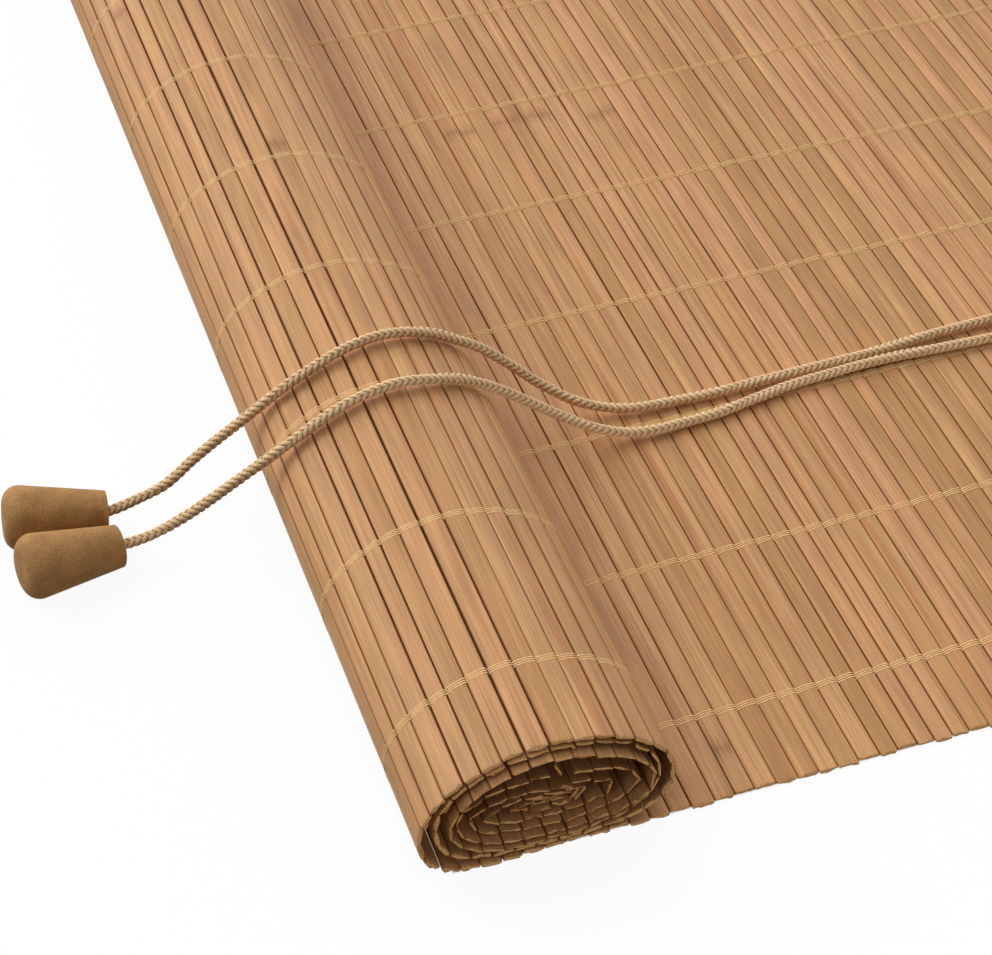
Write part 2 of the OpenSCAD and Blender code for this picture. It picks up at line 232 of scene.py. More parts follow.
own_white = add(tree, MATH, (outside, TABLE_OWN_WHITE), operation="MULTIPLY")
share = add(tree, MATH, (shown, own_white), operation="MULTIPLY")
open_table = add(tree, MIX, {0: shown, 6: linear("#5A4632"), 7: linear("#FFFFFF")}, data_type="RGBA")
# painted shade: under the blind the table's colour is brown instead of white
table_and_painted_shade = add(tree, MIX, {0: outside, 6: linear("#B8742E"), 7: open_table.outputs[2]}, data_type="RGBA")
matt = add(tree, "ShaderNodeBsdfDiffuse", {"Color": table_and_painted_shade.outputs[2]})
glow = add(tree, "ShaderNodeEmission", {"Color": linear("#FFFFFF"), "Strength": 1.0})
both = add(tree, "ShaderNodeMixShader", (share, matt, glow))
add(tree, TO_MATERIAL, {"Surface": both})
corners = [(x * TABLE_HALF, y * TABLE_HALF, 0) for x, y in ((-1, -1), (1, -1), (1, 1), (-1, 1))]
table = new_mesh_object("table_top", corners, [(0, 1, 2, 3)])
table.data.materials.append(table_material)

# %% [markdown]
# The cords are round braids of eight yarns. Four wind one way and four the other, and each goes over and
# under two of those that it meets, which gives the rows of small V shapes along the cord. A bump map would
# look flat beside the rough slats, so each yarn is a real tube. First comes the yarn's finish: cotton, matt,
# a little fluffy, with fine twisted fibres along each yarn, and a painted shade that darkens each yarn's
# sides and the stretches where it passes under, in the creases where yarns cross.

# %% Cord finish
FIBRE_MM, FIBRE_LONG_MM = 0.35, 0.25
# Single fibres are too fine to show, so across the yarn they are drawn this many times wider
FIBRE_COARSER = 6
cotton, tree = new_material("braided_cotton")
place = add(tree, "ShaderNodeAttribute", attribute_name="yarn_place")
crease = add(tree, "ShaderNodeAttribute", attribute_name="yarn_crease")
grain_place = add(tree, VECTORS,
                  (place.outputs["Vector"], (1 / FIBRE_LONG_MM, 1 / FIBRE_MM / FIBRE_COARSER, 1.0)),
                  operation="MULTIPLY")
fibre = add(tree, NOISE, {"Vector": grain_place, "Scale": 1.0, "Detail": 3.0, "Roughness": 0.6})
cream = add(tree, RAMP, (fibre,), ((0.35, "#E4B884"), (0.65, "#FFE4B8")))
# painted shade in the creases where yarns cross
painted_crease_shade = add(tree, RANGE, (crease.outputs["Fac"], 0.25, 0.95, 0.0, 0.5), interpolation_type="SMOOTHSTEP")
crease_shaded = add(tree, MIX, {0: painted_crease_shade, 6: cream, 7: linear("#94642F")}, data_type="RGBA")
bump = add(tree, BUMP, {"Strength": 0.4, "Distance": 0.1 * MM, "Height": fibre})
cloth = add(tree, PRINCIPLED,
            {"Base Color": crease_shaded.outputs[2], "Roughness": 0.85, "Specular IOR Level": 0.2,
             "Sheen Weight": 0.15, "Normal": bump})
add(tree, TO_MATERIAL, {"Surface": cloth})

# %% [markdown]
# Each cord's route repeats the points of the part: up out of the batten, over the pulley wheel, down to the
# slats, over the roll, and down to its wooden pull. A smooth curve goes through them.

# %% Cord routes
CORD_D = 3.8
AXLE_MM = np.array([407.5, 25.0])
ROPE_R = 8.5
CORD_HOLE_X = AXLE_MM[0] + ROPE_R
# Heights in the batten's hole, and angles in degrees at which the cord lies on its wheel
CORD_RISE, WHEEL_ANGLES = (1.6, 13.0), (0, 32, 64, 92, 116)
SHEAVE_Y = {"near": -131.6, "far": -124.4}
PULL_SMALL_R, PULL_BIG_R, PULL_LEN, BORE_LEN = 7.4, 12.0, 35.0, 22.0
taper = math.atan((PULL_BIG_R - PULL_SMALL_R) / PULL_LEN)
PULL_AT = {"near": (-94.5, -138.0), "far": (-95.0, -120.5)}
PULL_TURN = {"near": math.radians(188), "far": math.radians(175)}
ROUTES = {
    "far": [(388, -124.5, 25.5), (370, -124.5, 17.5), (350, -124.5, 10), (332, -124, 5.5), (314, -124, 4),
            (290, -123.1, 4), (266, -122.7, 4), (242, -123, 4), (218, -123.8, 4), (194, -125.9, 4),
            (170, -126.7, 4), (146, -127.3, 4), (126, -127.9, 4), (110, -127.2, 4), (98, -126.7, 4.5),
            (87, -124, 5.5), (76, -121, 9.5), (65, -116.5, 16.5), (54, -112.4, 26), (44, -110.2, 34.5),
            (35, -109.7, 40.5), (26, -109.9, 46), (16, -110.8, 50), (5, -112.2, 52), (-6, -114.6, 52),
            (-17, -117.1, 49.5), (-26, -118.4, 46), (-34, -118.1, 40.5), (-43, -117.6, 33.5),
            (-53, -117.4, 26.5), (-63, -118.2, 20), (-74, -120.9, 14), (-84, -120.6, 10)],
    "near": [(388, -131.5, 25.5), (370, -132, 17.5), (350, -132.5, 10), (332, -133, 5.5), (314, -133.5, 4),
             (290, -133.4, 4), (264, -133.3, 4), (238, -132.7, 4), (216, -131.8, 4), (195, -130.8, 4),
             (175, -131.7, 4), (156, -133, 4), (140, -135.7, 4), (125, -138.2, 4), (111, -139, 4),
             (100, -139.7, 4.5), (89, -138.5, 5.5), (78, -137, 9.5), (67, -135.5, 16.5), (56, -133.8, 24.5),
             (46, -133.2, 32.5), (37, -133.1, 39), (28, -134.5, 45), (18, -136.5, 49.5), (7, -137.3, 52),
             (-5, -138.8, 52), (-16, -140.7, 50), (-25, -142.2, 46.5), (-33, -142.3, 41.5),
             (-42, -141.9, 35.5), (-52, -141.5, 29), (-62, -140.8, 22), (-72, -139.9, 15.5),
             (-83, -138.9, 10)],
}


def pull_axis(side):
    """The unit vector along a pull, from its small end to its big end."""
    turn, level = PULL_TURN[side], math.cos(taper)
    return np.array([level * math.cos(turn), level * math.sin(turn), math.sin(taper)])


def pull_start(side):
    """The middle of a pull's small end."""
    return np.array([*PULL_AT[side], PULL_SMALL_R * math.cos(taper)])


def cord_route(side):
    """All points of a cord's route in drawing millimetres, from the batten to its pull."""
    start = [(CORD_HOLE_X, SHEAVE_Y[side], z) for z in CORD_RISE]
    over = [(AXLE_MM[0] + ROPE_R * math.cos(math.radians(a)), SHEAVE_Y[side],
             AXLE_MM[1] + ROPE_R * math.sin(math.radians(a))) for a in WHEEL_ANGLES]
    finish = [pull_start(side) + pull_axis(side) * reach for reach in (0.0, BORE_LEN / 2, BORE_LEN)]
    return np.array(start + over + ROUTES[side] + [tuple(p) for p in finish], float)


print("route points:", {side: len(cord_route(side)) for side in ROUTES})

# %% [markdown]
# The curve is a spline that passes through every point. With its knots at the root of the distance, it makes
# no loops where points lie close together. It is a blend of blends of neighbouring points.

# %% A smooth curve
CURVE_STEPS = 24


def blend(t, t_from, t_to, start, end):
    """The point between two points, at a time between their two times."""
    return (t_to - t) / (t_to - t_from) * start + (t - t_from) / (t_to - t_from) * end


def smooth_path(points, step):
    """A smooth curve through the points, as new points that are one step apart along it."""
    p = np.vstack([2 * points[0] - points[1], points, 2 * points[-1] - points[-2]])
    knots = np.concatenate([[0], np.cumsum(np.sqrt(np.linalg.norm(np.diff(p, axis=0), axis=1)))])
    dense = []
    for i in range(1, len(p) - 2):
        t = np.linspace(knots[i], knots[i + 1], CURVE_STEPS, endpoint=False)[:, None]
        k = knots[i - 1:i + 3]
        a = [blend(t, k[j], k[j + 1], p[i - 1 + j], p[i + j]) for j in range(3)]
        b = [blend(t, k[j], k[j + 2], a[j], a[j + 1]) for j in range(2)]
        dense.append(blend(t, k[1], k[2], b[0], b[1]))
    dense = np.vstack(dense + [points[-1:]])
    run = np.concatenate([[0], np.cumsum(np.linalg.norm(np.diff(dense, axis=0), axis=1))])
    at = np.linspace(0, run[-1], int(run[-1] / step) + 1)
    return np.stack([np.interp(at, run, dense[:, k]) for k in range(3)], axis=1), at


def carried_frame(path_points):
    """Two sideways directions at each point, carried along without twist."""
    tangent = np.gradient(path_points, axis=0)
    tangent /= np.linalg.norm(tangent, axis=1)[:, None]
    side = np.zeros_like(tangent)
    side[0] = np.cross(tangent[0], (0.0, 1.0, 0.0))
    side[0] /= np.linalg.norm(side[0])
    for i in range(1, len(side)):
        flat = side[i - 1] - tangent[i] * np.dot(side[i - 1], tangent[i])
        side[i] = flat / np.linalg.norm(flat)
    return side, np.cross(tangent, side)


print("curve pieces have", CURVE_STEPS, "steps each")

# %% [markdown]
# A frame of two sideways directions is carried along the curve, and the yarns are wound in it. Where two
# yarns cross, one has its widest radius and the other its smallest, so that they pass by each other. A cord
# that has been handled is never straight in itself, so the whole braid turns slowly to and fro along its
# length.

# %% Braid the cords
YARNS, YARN_SIDES = 4, 8
BRAID_TURN_MM, BRAID_STEP_MM = 10.0, 0.5
# Each slow turn's size in radians, its length in millimetres and its start
TWISTS = ((0.55, 95.0, 1.0), (0.3, 37.0, 0.0))
YARN_RING_R, YARN_SWING = 1.28, 0.24
YARN_WIDE, YARN_FLAT = 0.74, 0.46
# Where each side, yarn and way lies in the fibre pattern, in millimetres
SIDE_STEP, YARN_STEP, WAY_STEP = 0.7, 7.0, 31.0
ROUTE_SKIP = 6


def braid(name, path_mm, run):
    """A round braid along a path, as one mesh of closed yarn tubes."""
    side, up = carried_frame(path_mm)
    twist = sum(size * np.sin(2 * math.pi * run / length + start) for size, length, start in TWISTS)
    vertices, faces, places, crease_shades = [], [], [], []
    for way in (1, -1):
        for k in range(YARNS):
            angle = way * 2 * math.pi * run / BRAID_TURN_MM + 2 * math.pi * k / YARNS
            swing = way * np.cos(2 * angle)
            radius = YARN_RING_R + YARN_SWING * swing
            turned = angle + twist
            out = side * np.cos(turned)[:, None] + up * np.sin(turned)[:, None]
            middle = path_mm + out * radius[:, None]
            along = np.gradient(middle, axis=0)
            along /= np.linalg.norm(along, axis=1)[:, None]
            across = np.cross(along, out)
            faces += tube_faces(len(vertices), len(run), YARN_SIDES)
            for i in range(len(run)):
                for s in range(YARN_SIDES):
                    turn = 2 * math.pi * s / YARN_SIDES
                    vertices.append(middle[i] + across[i] * YARN_WIDE * math.cos(turn)
                                    + out[i] * YARN_FLAT * math.sin(turn))
                    places.append((run[i], s * SIDE_STEP, YARN_STEP * k + WAY_STEP * way))
                    # painted shade: how dark the yarn is drawn at its sides and where it passes under another
                    crease_shades.append(max(abs(math.cos(turn)) ** 3, 0.5 - 0.5 * swing[i]))
    obj = new_mesh_object(name, scene_points(vertices), faces, smooth=True)
    layers = obj.data.attributes
    layers.new("yarn_place", "FLOAT_VECTOR", "POINT").data.foreach_set("vector", np.ravel(places))
    layers.new("yarn_crease", "FLOAT", "POINT").data.foreach_set("value", crease_shades)
    obj.data.materials.append(cotton)
    return obj


cords, cord_runs = {}, {}
for side in ("near", "far"):
    path_mm, run = smooth_path(cord_route(side), BRAID_STEP_MM)
    cords[side] = braid(f"pull_cord_{side}", path_mm, run)
    cord_runs[side] = (scene_points(path_mm[::ROUTE_SKIP]), run[-1] * MM)
    hand_over(cords[side], f"cord_{side}")
    print(cords[side].name, "length", round(run[-1]), "mm,", len(cords[side].data.polygons), "faces")

# %% [markdown]
# Split bamboo is a strip of long straight fibres. Its colour differs from strip to strip, from straw to a
# pinkish brown, with reddish streaks along it and fine darker lines between the fibres. All patterns are laid
# out in each strip's own place, which the strip carries as an attribute, so that they follow it round the
# roll. Three noises, drawn out along the strip, give the lines, the streaks and a slow change of tone.

# %% Bamboo colour
# How far apart in the patterns two strips can lie, so that none repeats another
STRIPS_APART = (37.0, 91.0, 53.0)
bamboo, tree = new_material("split_bamboo")
place, pick, warmth, cut, joint_at = [
    add(tree, "ShaderNodeAttribute", attribute_name=name)
    for name in ("slat_place", "slat_pick", "slat_warmth", "cut_end", "joint_at")]
apart = add(tree, VECTORS, {0: STRIPS_APART, "Scale": pick.outputs["Fac"]}, operation="SCALE")
# Each pattern's width and length in millimetres, and the noise's detail and roughness
PATTERNS = ((0.42, 42.0, 4.0, 0.65), (2.2, 150.0, 2.0, 0.5), (5.0, 38.0, 1.0, 0.5))
patterns = []
for wide, long, detail, rough in PATTERNS:
    drawn_out = add(tree, VECTORS,
                    (place.outputs["Vector"], (1 / wide / MM, 1 / long / MM, 1 / wide / MM), apart),
                    operation="MULTIPLY_ADD")
    patterns.append(add(tree, NOISE,
                        {"Vector": drawn_out, "Scale": 1.0, "Detail": detail, "Roughness": rough}))
fine, streak, tone = patterns
straw = add(tree, RAMP, (pick.outputs["Fac"],), ((0.0, "#BE8C56"), (0.5, "#D2A06A"), (1.0, "#D49C6B")))
red_share = add(tree, RANGE, (streak, 0.42, 0.72, 0.0, 1.0))
red_share = add(tree, MATH, (red_share, warmth.outputs["Fac"]), operation="MULTIPLY")
reddish = add(tree, MIX, {0: red_share, 6: straw, 7: linear("#BE7F4E")}, data_type="RGBA")
line = add(tree, RANGE, (fine, 0.34, 0.66, 0.76, 1.16))
slow = add(tree, RANGE, (tone, 0.3, 0.7, 0.9, 1.08))
shaded = add(tree, MATH, (line, slow), operation="MULTIPLY")
grained = add(tree, MIX, {0: 1.0, 6: reddish.outputs[2], 7: shaded}, data_type="RGBA", blend_type="MULTIPLY")

# %% [markdown]
# Here and there a strip has a bamboo joint across it: a soft dark ring, with short dark fibres on both sides.
# Along the split edges a dark brown is painted as shade for the gaps between the slats, and the streaks make
# it wider or narrower. The sawn ends show the fibres end on, as dark dots in a pale brown. The surface is a
# satin skin with the fine lines standing a little proud.

# %% Bamboo joints, edges and ends
JOINT_WAVE, RING_FROM, RING_TO, RING_SHARE = 6.0 * MM, 0.3 * MM, 2.4 * MM, 0.26
FIBRES_FROM, FIBRES_TO, FIBRES_SHARE = 1.0 * MM, 7.0 * MM, 0.55
EDGE_WAVE, EDGE_FROM, EDGE_TO, EDGE_SHARE = 0.4 * MM, 3.1 * MM, 3.6 * MM, 0.85
END_DOT_MM = 0.4545
split_place = add(tree, SEPARATE, (place.outputs["Vector"],))
wave = add(tree, MATH, (streak, JOINT_WAVE, split_place.outputs["Y"]), operation="MULTIPLY_ADD")
from_joint = add(tree, MATH, (wave, joint_at.outputs["Fac"]), operation="SUBTRACT")
from_joint = add(tree, MATH, (from_joint,), operation="ABSOLUTE")
ring = add(tree, RANGE, (from_joint, RING_FROM, RING_TO, RING_SHARE, 0.0), interpolation_type="SMOOTHSTEP")
ringed = add(tree, MIX, {0: ring, 6: grained.outputs[2], 7: linear("#86552E")}, data_type="RGBA")
near_joint = add(tree, RANGE, (from_joint, FIBRES_FROM, FIBRES_TO, 1.0, 0.0), interpolation_type="SMOOTHSTEP")
dark_fibre = add(tree, RANGE, (fine, 0.42, 0.58, FIBRES_SHARE, 0.0))
dark_share = add(tree, MATH, (near_joint, dark_fibre), operation="MULTIPLY")
jointed = add(tree, MIX, {0: dark_share, 6: ringed.outputs[2], 7: linear("#8A5A30")}, data_type="RGBA")
# painted shade: the split edges darken towards the gaps between the slats
edge = add(tree, MATH, (split_place.outputs["X"],), operation="ABSOLUTE")
edge = add(tree, MATH, (streak, EDGE_WAVE, edge), operation="MULTIPLY_ADD")
edge_shade_share = add(tree, RANGE, (edge, EDGE_FROM, EDGE_TO, 0.0, EDGE_SHARE), interpolation_type="SMOOTHSTEP")
edge_shaded = add(tree, MIX, {0: edge_shade_share, 6: jointed.outputs[2], 7: linear("#94561F")}, data_type="RGBA")
dot = add(tree, NOISE,
          {"Vector": place.outputs["Vector"], "Scale": 1 / END_DOT_MM / MM, "Detail": 2.0, "Roughness": 0.7})
end_colour = add(tree, RAMP, (dot,), ((0.35, "#A87438"), (0.65, "#F2C080")))
ended = add(tree, MIX, {0: cut.outputs["Fac"], 6: edge_shaded.outputs[2], 7: end_colour}, data_type="RGBA")
bump = add(tree, BUMP, {"Strength": 0.35, "Distance": 0.2 * MM, "Height": fine})
strip = add(tree, PRINCIPLED,
            {"Base Color": ended.outputs[2], "Roughness": 0.55, "Specular IOR Level": 0.3, "Normal": bump})
add(tree, TO_MATERIAL, {"Surface": strip})
print("bamboo finish has", len(tree.nodes), "nodes")

# %% [markdown]
# The slats repeat along a path, so Geometry Nodes lay them out. One slat is drawn with a slightly crowned
# section and softened ends. It carries its own place and marks its sawn ends, for the finish to read.

# %% One slat
BLIND_W = 600.0
SLAT_PITCH, SLAT_GAP, SLAT_T = 7.0, 0.35, 1.6
SLAT_W = SLAT_PITCH - SLAT_GAP
END_ROUND, END_SHRINK, SIDE_SHRINK = 0.9, 0.9, 0.96
upper = [(-1.0, 0.22), (-0.93, 0.5), (-0.68, 0.7), (-0.24, 0.79),
         (0.24, 0.79), (0.68, 0.7), (0.93, 0.5), (1.0, 0.22)]
section = [(x * SLAT_W / 2, z) for x, z in upper] + [(x * SLAT_W / 2, -z) for x, z in reversed(upper)]
half_w = BLIND_W / 2
stations = [-half_w, -half_w + END_ROUND, -180, -60, 60, 180, half_w - END_ROUND, half_w]
vertices = []
for y in stations:
    at_end = abs(y) == half_w
    vertices += [(x * (SIDE_SHRINK if at_end else 1.0), y, z * (END_SHRINK if at_end else 1.0))
                 for x, z in section]
faces = tube_faces(0, len(stations), len(section), flip=True)
slat = new_mesh_object("one_slat", np.array(vertices) * MM, faces)
slat.data.attributes.new("slat_place", "FLOAT_VECTOR", "POINT").data.foreach_set(
    "vector", np.ravel(np.array(vertices) * MM))
slat.data.attributes.new("cut_end", "FLOAT", "FACE").data.foreach_set(
    "value", [0.0] * (len(faces) - 2) + [1.0] * 2)
print("slat:", len(slat.data.polygons), "faces")

# %% [markdown]
# The roll winds inward on an oval path. Each layer has its own reach to the left, to the right and upward.
# The inner layers rest on each other at the foot, and their tops sag away from the stiff outer ones, as in
# any loose roll. They have also crept along the slats, deeper into the roll.

# %% Path of the roll
ROLL_W, ROLL_H, ROLL_MID_H = 82.4, 49.3, 20.1
FOOT_POWER, ROUND_POWER, TOP_POWER = 3.2, 2.1, 2.0
ROLL_TURNS, LAYER_GAP, STITCH_ROOM, ROLL_CREEP = 6.74, 0.2, 0.35, 8.0
# One share for each turn, and for the creep one for each half turn
LEFT_SHARE = [1, 0.871, 0.77, 0.704, 0.588, 0.468, 0.26, 0.151]
RIGHT_SHARE = [1.03, 0.916, 0.871, 0.777, 0.638, 0.531, 0.438, 0.299]
MID_SHARE = [1, 1.17, 1.116, 1.042, 0.886, 0.787, 0.762, 0.702]
TOP_SHARE = [1, 0.96, 0.922, 0.687, 0.491, 0.39, 0.311, 0.286]
SQUARE_SHARE = [1, 0.75, 0.2, 0, 0, 0, 0, 0]
CREEP_SHARE = [0, 0, 0, 0, 0, 0, 0.075, 0.125, 0.375, 0.44, 0.65, 0.69, 0.8, 0.84, 0.9, 1]
END_ANGLE = 360 * ROLL_TURNS
HALF_T = SLAT_T / 2
ANGLE_STEP = 0.5


def at_turn(values, turn):
    """The value at a turn, between the values of two whole turns."""
    return float(np.interp(turn, range(len(values)), values))


def spiral(angle):
    """Point of the roll's path in drawing millimetres, at an angle in degrees from its foot."""
    s, c = math.sin(math.radians(angle)), math.cos(math.radians(angle))
    shares, start = (LEFT_SHARE, 90) if s >= 0 else (RIGHT_SHARE, 270)
    side = (ROLL_W - SLAT_T) / 2 * at_turn(shares, (angle - start) / 360)
    mid = ROLL_MID_H * at_turn(MID_SHARE, (angle - 90) / 360)
    if c > 0:
        foot = HALF_T + angle / 360 * (SLAT_T + LAYER_GAP) + (STITCH_ROOM if angle > 180 else 0.0)
        level = mid - foot
        power = ROUND_POWER + (FOOT_POWER - ROUND_POWER) * at_turn(SQUARE_SHARE, angle / 360)
    else:
        level = HALF_T + (ROLL_H - SLAT_T) * at_turn(TOP_SHARE, (angle - 180) / 360) - mid
        power = TOP_POWER
    reach = ((abs(s) / side) ** power + (abs(c) / max(SLAT_T, level)) ** power) ** (-1 / power)
    return np.array([-reach * s, mid - reach * c])


def next_joint(angle, width):
    """The first angle at which the path is one slat's width away from here."""
    start, following = spiral(angle), angle + ANGLE_STEP
    while np.linalg.norm(spiral(following) - start) < width:
        following += ANGLE_STEP
    return following


print("roll's left, top and right:", [spiral(a).round(1).tolist() for a in (90, 180, 270)])

# %% [markdown]
# The slats are split by hand, so their widths differ, and they are drawn here with a fixed seed. Along the
# roll, each slat spans two points of the path that are its width apart.

# %% Widths of the slats
FLAT_SLATS = 60
# Mean, spread, least and most: of widths in slat pitches, and of gaps in millimetres
FLAT_WIDTHS, ROLLED_WIDTHS = (1.0, 0.09, 0.74, 1.16), (1.0, 0.07, 0.8, 1.1)
FLAT_GAPS, ROLLED_GAPS = (0.21, 0.16, 0.04, 0.65), (0.3, 0.2, 0.08, 0.8)


def uneven(source, mean, spread, least, most, count=None):
    """One size or many, drawn round a mean and kept between two limits."""
    return np.clip(source.normal(mean, spread, count), least, most)


draw = np.random.default_rng(7)
gap_draw = np.random.default_rng(19)
lean_draw = np.random.default_rng(23)
flat_widths = uneven(draw, *FLAT_WIDTHS, FLAT_SLATS)
flat_edges = np.concatenate([[0], np.cumsum(flat_widths)]) * FLAT_SLATS * SLAT_PITCH / flat_widths.sum()
roll_angles = [0.0]
while True:
    width = SLAT_PITCH * float(uneven(draw, *ROLLED_WIDTHS))
    following = next_joint(roll_angles[-1], width)
    if following > END_ANGLE:
        break
    roll_angles.append(following)
roll_joints = np.array([spiral(a) for a in roll_angles])
roll_steps = np.diff(roll_joints, axis=0)
roll_headings = roll_steps / np.linalg.norm(roll_steps, axis=1)[:, None]
ROLLED_SLATS = len(roll_headings)
roll_gaps = uneven(gap_draw, *ROLLED_GAPS, ROLLED_SLATS + 1)
print("slats: flat", FLAT_SLATS, "rolled", ROLLED_SLATS)

# %% [markdown]
# A slat's width is its share of the path less the gap, and less what the fold at each end needs, so that
# neighbours don't cut into each other where the roll bends. Some stretches of the roll have slipped a
# millimetre or two along the slats, which the ends show as steps. The inner slats are not held tight, so each
# leans a little. One gap at the roll's left foot stands open.

# %% Points for the slats
MOST_BEND, FOLD_SHARE = math.radians(140), 0.3
OPEN_ANGLE, OPEN_ROOM = 67.0, 0.36
OPEN_JOINT = int(np.argmin(np.abs(np.array(roll_angles) - OPEN_ANGLE)))
LOOSE_ANGLES = [0, 15, 60, 80, 130, 150, 200, 230, 720, 800, 840, 960, 1000, 1060]
LOOSE_SHIFTS = [0, -1.2, -1.2, 0, 0, 0.9, 0.9, 0, 0, -1.0, -2.6, -2.6, -1.0, 0]
OUTER_LEAN, INNER_LEAN, LEAN_FROM = math.radians(0.7), math.radians(1.6), 300


def fold_room(i):
    """How far a rolled slat stays back from joint i."""
    before = roll_headings[i - 1] if i > 0 else np.array([-1.0, 0.0])
    after = roll_headings[min(i, ROLLED_SLATS - 1)]
    bend = min(MOST_BEND, math.acos(max(-1.0, min(1.0, float(before @ after)))))
    return roll_gaps[i] / 2 + FOLD_SHARE * math.tan(bend / 2) + (OPEN_ROOM if i == OPEN_JOINT else 0.0)


# Each point is x, y and z of the slat's middle, its tilt, and its width
flat_points, rolled_points = [], []
for left, right in zip(flat_edges[:-1], flat_edges[1:]):
    gap = float(uneven(gap_draw, *FLAT_GAPS))
    flat_points.append(((left + right) / 2, 0.0, HALF_T, 0.0, right - left - gap))
for i in range(ROLLED_SLATS):
    heading = roll_headings[i]
    length = float(np.linalg.norm(roll_steps[i]))
    back, front = fold_room(i), fold_room(i + 1)
    mid = roll_joints[i] + heading * (length + back - front) / 2
    creep = ROLL_CREEP * at_turn(CREEP_SHARE, roll_angles[i] / 180)
    loose = float(np.interp(roll_angles[i], LOOSE_ANGLES, LOOSE_SHIFTS))
    lean = lean_draw.normal(0.0, OUTER_LEAN if roll_angles[i] < LEAN_FROM else INNER_LEAN)
    tilt = math.atan2(heading[1], -heading[0]) + lean
    rolled_points.append((mid[0], creep + loose, mid[1], tilt, length - back - front))
print("innermost slat has crept", round(creep, 1), "mm")

# %% [markdown]
# The roll was started by folding the mat's end, so the core is a small stack of slats that lie flat on each
# other. They follow no rule, and are set one by one. One slat of the fourth turn has tipped up on its edge.

# %% Slats of the core
EDGE_X, EDGE_LIFT, EDGE_LEAN, EDGE_ANGLES = 4.0, 1.9, math.radians(66), (1180, 1340)
CORE_WIDE = 5.6
CORE_SLATS = [(11.9, 14.3, -58), (7.0, 13.6, 2), (0.6, 13.9, -4), (-3.4, 15.2, -9), (3.4, 15.0, 3)]
fourth = [i for i in range(ROLLED_SLATS) if EDGE_ANGLES[0] < roll_angles[i] < EDGE_ANGLES[1]]
on_edge = min(fourth, key=lambda i: abs(rolled_points[i][0] - EDGE_X))
x, y, z, _, width = rolled_points[on_edge]
rolled_points[on_edge] = (EDGE_X, y, z + EDGE_LIFT, EDGE_LEAN, width)
rolled_points += [(x, creep, z, math.radians(turn), CORE_WIDE) for x, z, turn in CORE_SLATS]
print("rolled slats with the core:", len(rolled_points))

# %% [markdown]
# Slats and stitches are laid out alike: a shape is set on each point, tilted, stretched to its width, and
# shifted a little along the slats, because no row of a real mat is quite straight. So both trees share the
# functions that follow. The last one runs a tree on a set of points and keeps the result as a plain mesh.

# %% Geometry Nodes that slats and stitches share
def new_layout(name, inputs):
    """An empty tree with named inputs, and the node that hands them out."""
    tree = bpy.data.node_groups.new(name, "GeometryNodeTree")
    tree.interface.new_socket("Geometry", in_out="OUTPUT", socket_type="NodeSocketGeometry")
    for key, kind in {"Geometry": "Geometry", **inputs, "Seed": "Int", "Finish": "Material"}.items():
        tree.interface.new_socket(key, in_out="INPUT", socket_type="NodeSocket" + kind)
    return tree, add(tree, "NodeGroupInput").outputs


def set_out(tree, points, shape, thick, seed, sway):
    """Sets a shape on every point, tilted, stretched and shifted, and makes the copies real."""
    source = add(tree, "GeometryNodeObjectInfo", {"Object": shape}, transform_space="ORIGINAL")
    tilt, stretch = [add(tree, "GeometryNodeInputNamedAttribute", {"Name": name}, data_type="FLOAT")
                     for name in ("tilt", "stretch")]
    turned = add(tree, COMBINE, {"Y": tilt})
    turned = add(tree, "FunctionNodeEulerToRotation", (turned,))
    sized = add(tree, COMBINE, (stretch, 1.0, thick))
    laid = add(tree, "GeometryNodeInstanceOnPoints",
               {"Points": points, "Instance": source.outputs["Geometry"], "Rotation": turned, "Scale": sized})
    drawn = add(tree, "FunctionNodeRandomValue", {"Seed": seed}, data_type="FLOAT")
    centred = add(tree, MATH, (drawn.outputs[1], 0.5), operation="SUBTRACT")
    moved = add(tree, MATH, (centred, sway), operation="MULTIPLY")
    along = add(tree, COMBINE, {"Y": moved})
    shifted = add(tree, "GeometryNodeTranslateInstances", {"Instances": laid, "Translation": along})
    return add(tree, "GeometryNodeRealizeInstances", {"Geometry": shifted})


def from_points(name, tree, points, attributes, inputs):
    """Runs a tree on a set of points, and keeps the result as a plain mesh object."""
    mesh = bpy.data.meshes.new(name + "_points")
    mesh.from_pydata([tuple(p) for p in points], [], [])
    for key, values in attributes.items():
        mesh.attributes.new(key, "FLOAT", "POINT").data.foreach_set("value", np.asarray(values, float))
    source = bpy.data.objects.new(name + "_points", mesh)
    bpy.context.scene.collection.objects.link(source)
    modifier = source.modifiers.new("layout", "NODES")
    modifier.node_group = tree
    for item in tree.interface.items_tree:
        if item.in_out == "INPUT" and item.name in inputs:
            modifier[item.identifier] = inputs[item.name]
    evaluated = source.evaluated_get(bpy.context.evaluated_depsgraph_get())
    result = bpy.data.meshes.new_from_object(evaluated)
    result.name = name
    source.modifiers.remove(modifier)
    bpy.data.objects.remove(source)
    obj = bpy.data.objects.new(name, result)
    bpy.context.scene.collection.objects.link(obj)
    print(name, len(result.polygons), "faces")
    return obj


# %% [markdown]
# The slats' own tree gives each slat two numbers for the finish to read, and lays it out. It then bows each
# slat sideways by a fraction of a millimetre, in the slat's own plane, and tears the sawn ends a little.

